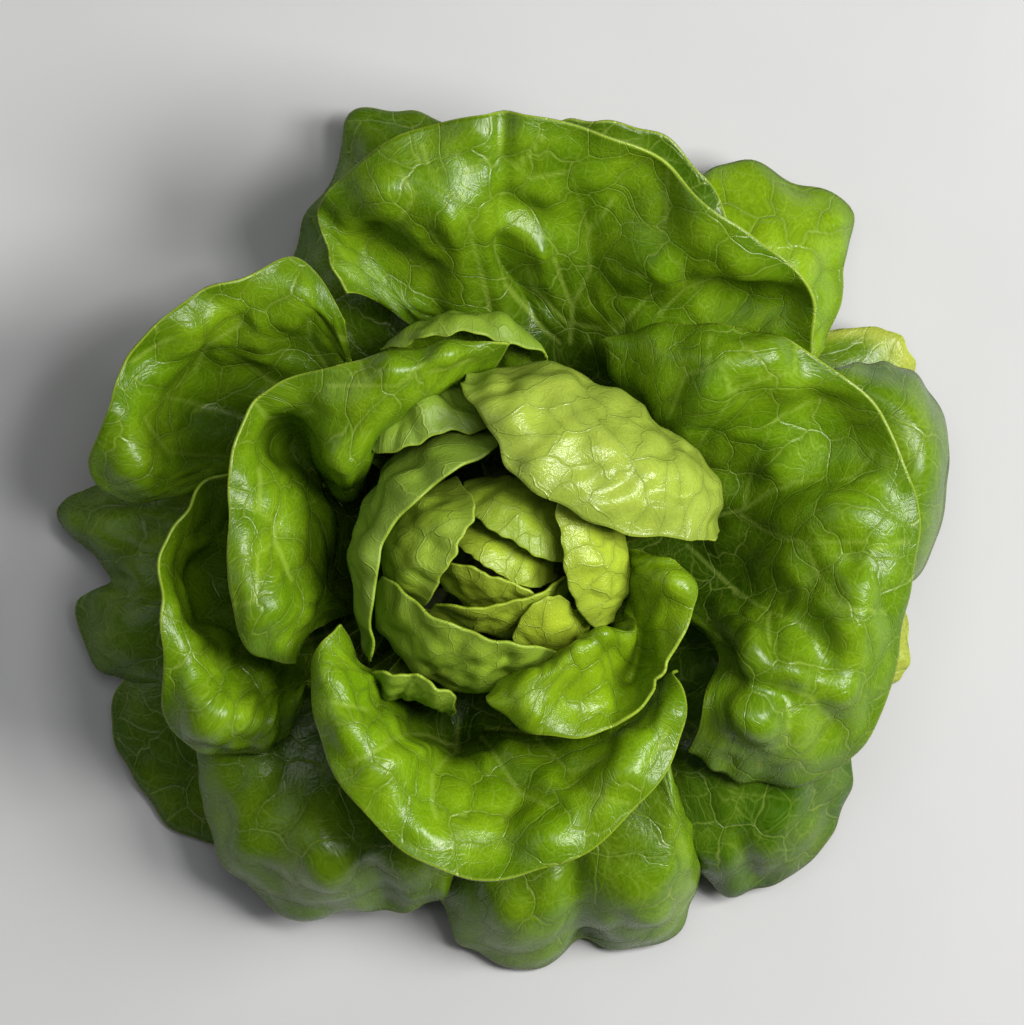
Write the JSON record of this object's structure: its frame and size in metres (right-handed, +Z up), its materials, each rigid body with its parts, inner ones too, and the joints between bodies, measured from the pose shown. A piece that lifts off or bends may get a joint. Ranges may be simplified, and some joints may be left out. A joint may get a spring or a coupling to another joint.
{
  "type": "butterhead_lettuce",
  "caption": "Whole butterhead lettuce with its outer leaves open: a pale puckered heart inside rolled and cupped green leaves, on a short cut stem",
  "frame": {"origin": "centre of the stem's flat cut face, which stands on the table", "axes": "+Z up through the heart; +Y towards the large back leaf, which stands furthest from the heart; +X towards the broad, strongly veined right leaf"},
  "size_m": [0.2714, 0.2629, 0.1031],
  "materials": {
    "stem": "matte, moist cut plant stem, pale cream green",
    "heart_leaf": "soft waxy sheen, bright yellow-green blistered leaf",
    "head_leaf": "soft waxy sheen, fresh green blistered leaf",
    "outer_leaf": "satin, deep green blistered leaf"
  },
  "bodies": {
    "root": {"stem": "stem", "heart_leaf_core": "heart_leaf", "heart_leaf_core_front": "heart_leaf", "heart_leaf_front_band": "heart_leaf", "heart_leaf_yellow_tip": "heart_leaf", "heart_leaf_back": "heart_leaf", "heart_leaf_left": "heart_leaf", "heart_leaf_right": "heart_leaf", "heart_leaf_front": "heart_leaf", "cap_leaf": "heart_leaf", "head_leaf_left": "head_leaf", "head_leaf_front_right": "head_leaf", "head_leaf_crumpled": "head_leaf", "head_leaf_back_left": "head_leaf", "head_leaf_back": "head_leaf", "rosette_leaf_front": "outer_leaf", "rosette_leaf_left": "outer_leaf", "rosette_leaf_right": "outer_leaf", "rosette_leaf_front_left": "outer_leaf", "rosette_leaf_back": "outer_leaf", "rosette_leaf_back_left": "outer_leaf", "wrapper_leaf_right": "outer_leaf", "wrapper_leaf_front_left": "outer_leaf", "wrapper_leaf_front": "outer_leaf", "wrapper_leaf_back": "outer_leaf", "wrapper_leaf_front_right": "outer_leaf", "wrapper_leaf_left": "outer_leaf", "wrapper_leaf_back_right": "outer_leaf", "wrapper_leaf_back_left": "outer_leaf", "lower_leaf_front_left": "outer_leaf", "lower_leaf_back_right": "outer_leaf", "lower_leaf_right": "outer_leaf", "lower_leaf_front_right": "outer_leaf"}
  },
  "joints": []
}
